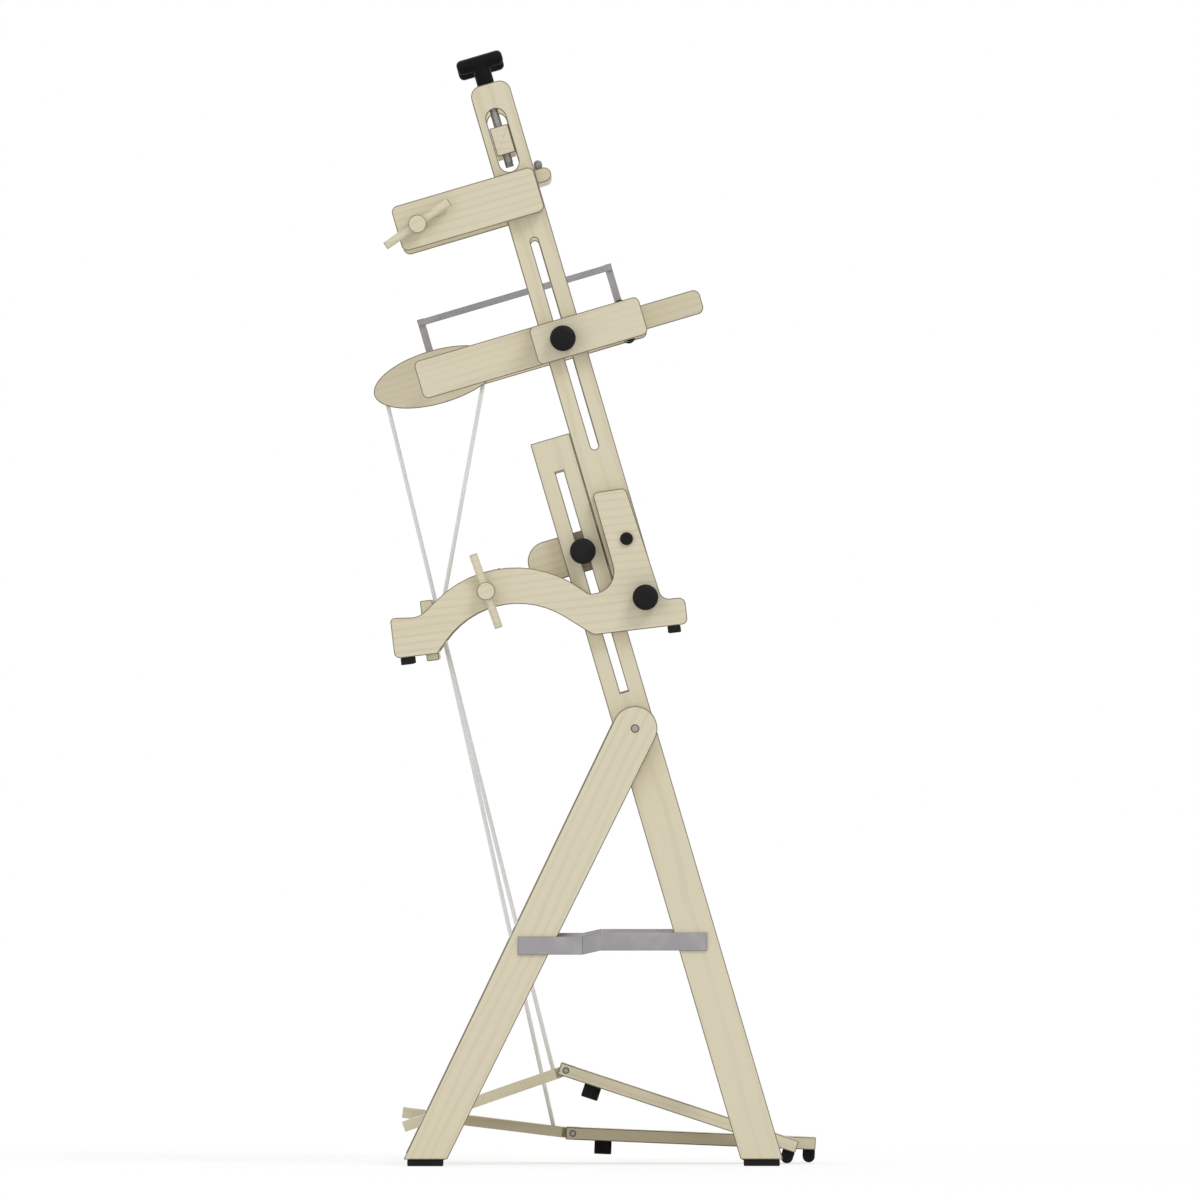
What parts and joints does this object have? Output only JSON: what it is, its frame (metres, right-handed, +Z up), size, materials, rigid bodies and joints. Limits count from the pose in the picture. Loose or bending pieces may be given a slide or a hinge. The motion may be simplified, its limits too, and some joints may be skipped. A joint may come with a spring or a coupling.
{
  "type": "tapestry loom",
  "caption": "Upright tapestry loom on an A-frame stand, with tension screws, warp and cloth beams, a rocking shed changer and cord-linked treadles.",
  "frame": {"origin": "middle of the loom's bounding box at floor level", "axes": "+Z up, -Y towards the weaver, +X to the weaver's right when facing the loom"},
  "size_m": [0.7322, 0.5155, 1.2944],
  "materials": {
    "maple": "oiled hard maple, satin",
    "steel": "plated, satin",
    "black_plastic": "moulded, fine matte",
    "rubber": "matte",
    "cord": "braided polyester cord"
  },
  "bodies": {
    "stand": {"long_leg_left": "maple", "long_leg_right": "maple", "short_leg_left": "maple", "short_leg_right": "maple", "leg_straps": "steel", "stand_bolts": "steel", "leg_stretchers": "maple", "leg_pads": "rubber", "treadle_rod": "steel"},
    "loom_frame": {"upright_left": "maple", "upright_right": "maple", "foot_left": "maple", "foot_right": "maple", "foot_pads": "rubber", "stand_brackets": "maple", "beam_arms": "maple", "bolt_caps": "black_plastic", "frame_bolts": "steel", "bottom_beam": "maple", "spring_board": "maple", "warp_spring": "steel", "crossbar": "maple", "cord_guides": "steel"},
    "shed_arms": {"shed_brackets": "maple", "inner_arms": "maple", "shed_bolts": "steel"},
    "front_rocker": {"shed_handle": "maple", "heddle_rocker": "maple", "heddle_rods": "steel", "heddle_rod_caps": "black_plastic", "front_crank": "steel"},
    "rear_rocker": {"cam_shaft": "maple", "cord_rocker": "maple", "rear_crank": "steel", "rear_cord": "cord", "front_cord": "cord"},
    "link": {"shed_link": "steel"},
    "arm_left": {"treadle_arm_left": "maple"},
    "arm_right": {"treadle_arm_right": "maple"},
    "pedal_left": {"pedal_left": "maple", "knee_pins_left": "steel", "pedal_rubbers_left": "rubber"},
    "pedal_right": {"pedal_right": "maple", "knee_pins_right": "steel", "pedal_rubbers_right": "rubber"},
    "top_beam": {"top_beam": "maple"},
    "tension_left": {"tension_knob_left": "black_plastic"},
    "tension_right": {"tension_knob_right": "black_plastic"},
    "shed_knob_left": {"shed_knob_left": "black_plastic"},
    "shed_knob_right": {"shed_knob_right": "black_plastic"},
    "leg_knob_left": {"leg_knob_left": "black_plastic"},
    "leg_knob_right": {"leg_knob_right": "black_plastic"},
    "foot_knob_left": {"foot_knob_left": "black_plastic"},
    "foot_knob_right": {"foot_knob_right": "black_plastic"},
    "warp_beam": {"warp_roller": "maple", "warp_ratchet": "steel"},
    "cloth_beam": {"cloth_roller": "maple", "cloth_ratchet": "steel"},
    "warp_pawl": {"warp_pawl": "steel"},
    "cloth_pawl": {"cloth_pawl": "steel"}
  },
  "joints": [
    {"name": "loom_height", "type": "slide", "parent": "stand", "child": "loom_frame", "axis": [0, 0.2823, 0.9593], "range_m": [-0.08, 0.09]},
    {"name": "shed_height", "type": "slide", "parent": "loom_frame", "child": "shed_arms", "axis": [0, 0.2823, 0.9593], "range_m": [-0.125, 0.07]},
    {"name": "shed_rock", "type": "hinge", "parent": "shed_arms", "child": "front_rocker", "pos_m": [0, -0.03617, 0.9812], "axis": [1, 0, 0], "range_deg": [-6, 60]},
    {"name": "cam_rock", "type": "hinge", "parent": "shed_arms", "child": "rear_rocker", "pos_m": [0, 0.18284, 0.91675], "axis": [1, 0, 0], "range_deg": [-6.5, 60.5], "deforming": ["rear_cord", "front_cord"]},
    {"name": "link_swing", "type": "hinge", "parent": "rear_rocker", "child": "link", "pos_m": [0, 0.2019, 0.9815], "axis": [1, 0, 0], "range_deg": [-60.5, 6.5]},
    {"name": "arm_right_swing", "type": "hinge", "parent": "stand", "child": "arm_right", "pos_m": [0, 0.188, 0.0544], "axis": [1, 0, 0], "range_deg": [-23.9, 2.84]},
    {"name": "arm_left_swing", "type": "hinge", "parent": "stand", "child": "arm_left", "pos_m": [0, 0.188, 0.0544], "axis": [1, 0, 0], "range_deg": [-2.84, 23.9]},
    {"name": "knee_right", "type": "hinge", "parent": "arm_right", "child": "pedal_right", "pos_m": [0, 0.02423, 0.03429], "axis": [1, 0, 0], "range_deg": [-4.26, 38.06]},
    {"name": "knee_left", "type": "hinge", "parent": "arm_left", "child": "pedal_left", "pos_m": [0, 0.03218, 0.10866], "axis": [1, 0, 0], "range_deg": [-38.17, 4.27]},
    {"name": "top_beam_lift", "type": "slide", "parent": "loom_frame", "child": "top_beam", "axis": [0, 0.2823, 0.9593], "range_m": [-0.008, 0.008]},
    {"name": "tension_screw_left", "type": "hinge", "parent": "loom_frame", "child": "tension_left", "pos_m": [-0.31, 0.12481, 1.2551], "axis": [0, 0.2823, 0.9593], "range_deg": [-1880, 1880]},
    {"name": "tension_screw_right", "type": "hinge", "parent": "loom_frame", "child": "tension_right", "pos_m": [0.31, 0.12481, 1.2551], "axis": [0, 0.2823, 0.9593], "range_deg": [-1880, 1880]},
    {"name": "shed_knob_left_turn", "type": "hinge", "parent": "shed_arms", "child": "shed_knob_left", "pos_m": [-0.341, 0.03559, 0.96008], "axis": [1, 0, 0], "continuous": true},
    {"name": "leg_knob_left_turn", "type": "hinge", "parent": "loom_frame", "child": "leg_knob_left", "pos_m": [-0.325, 0.01246, 0.71327], "axis": [1, 0, 0], "continuous": true},
    {"name": "foot_knob_left_turn", "type": "hinge", "parent": "loom_frame", "child": "foot_knob_left", "pos_m": [-0.345, -0.06022, 0.65971], "axis": [1, 0, 0], "continuous": true},
    {"name": "shed_knob_right_turn", "type": "hinge", "parent": "shed_arms", "child": "shed_knob_right", "pos_m": [0.341, 0.03559, 0.96008], "axis": [1, 0, 0], "continuous": true},
    {"name": "leg_knob_right_turn", "type": "hinge", "parent": "loom_frame", "child": "leg_knob_right", "pos_m": [0.325, 0.01246, 0.71327], "axis": [1, 0, 0], "continuous": true},
    {"name": "foot_knob_right_turn", "type": "hinge", "parent": "loom_frame", "child": "foot_knob_right", "pos_m": [0.345, -0.06022, 0.65971], "axis": [1, 0, 0], "continuous": true},
    {"name": "warp_beam_turn", "type": "hinge", "parent": "loom_frame", "child": "warp_beam", "pos_m": [0, 0.2043, 1.0927], "axis": [1, 0, 0], "continuous": true},
    {"name": "cloth_beam_turn", "type": "hinge", "parent": "loom_frame", "child": "cloth_beam", "pos_m": [0, 0.12474, 0.66691], "axis": [1, 0, 0], "continuous": true},
    {"name": "warp_pawl_swing", "type": "hinge", "parent": "loom_frame", "child": "warp_pawl", "pos_m": [-0.313, 0.17282, 1.10582], "axis": [1, 0, 0], "range_deg": [-9, 35]},
    {"name": "cloth_pawl_swing", "type": "hinge", "parent": "loom_frame", "child": "cloth_pawl", "pos_m": [-0.313, 0.09155, 0.67399], "axis": [1, 0, 0], "range_deg": [-9, 35]}
  ],
  "couplings": [
    {"joint": "cam_rock", "follows": "shed_rock", "ratio": 1},
    {"joint": "link_swing", "follows": "shed_rock", "ratio": -1},
    {"joint": "arm_right_swing", "follows": "shed_rock", "ratio": -0.39},
    {"joint": "arm_left_swing", "follows": "shed_rock", "ratio": 0.39},
    {"joint": "knee_right", "follows": "shed_rock", "ratio": 0.626},
    {"joint": "knee_left", "follows": "shed_rock", "ratio": -0.6279},
    {"joint": "tension_screw_left", "follows": "top_beam_lift", "rad_per_m": 3927},
    {"joint": "tension_screw_right", "follows": "top_beam_lift", "rad_per_m": 3927}
  ]
}
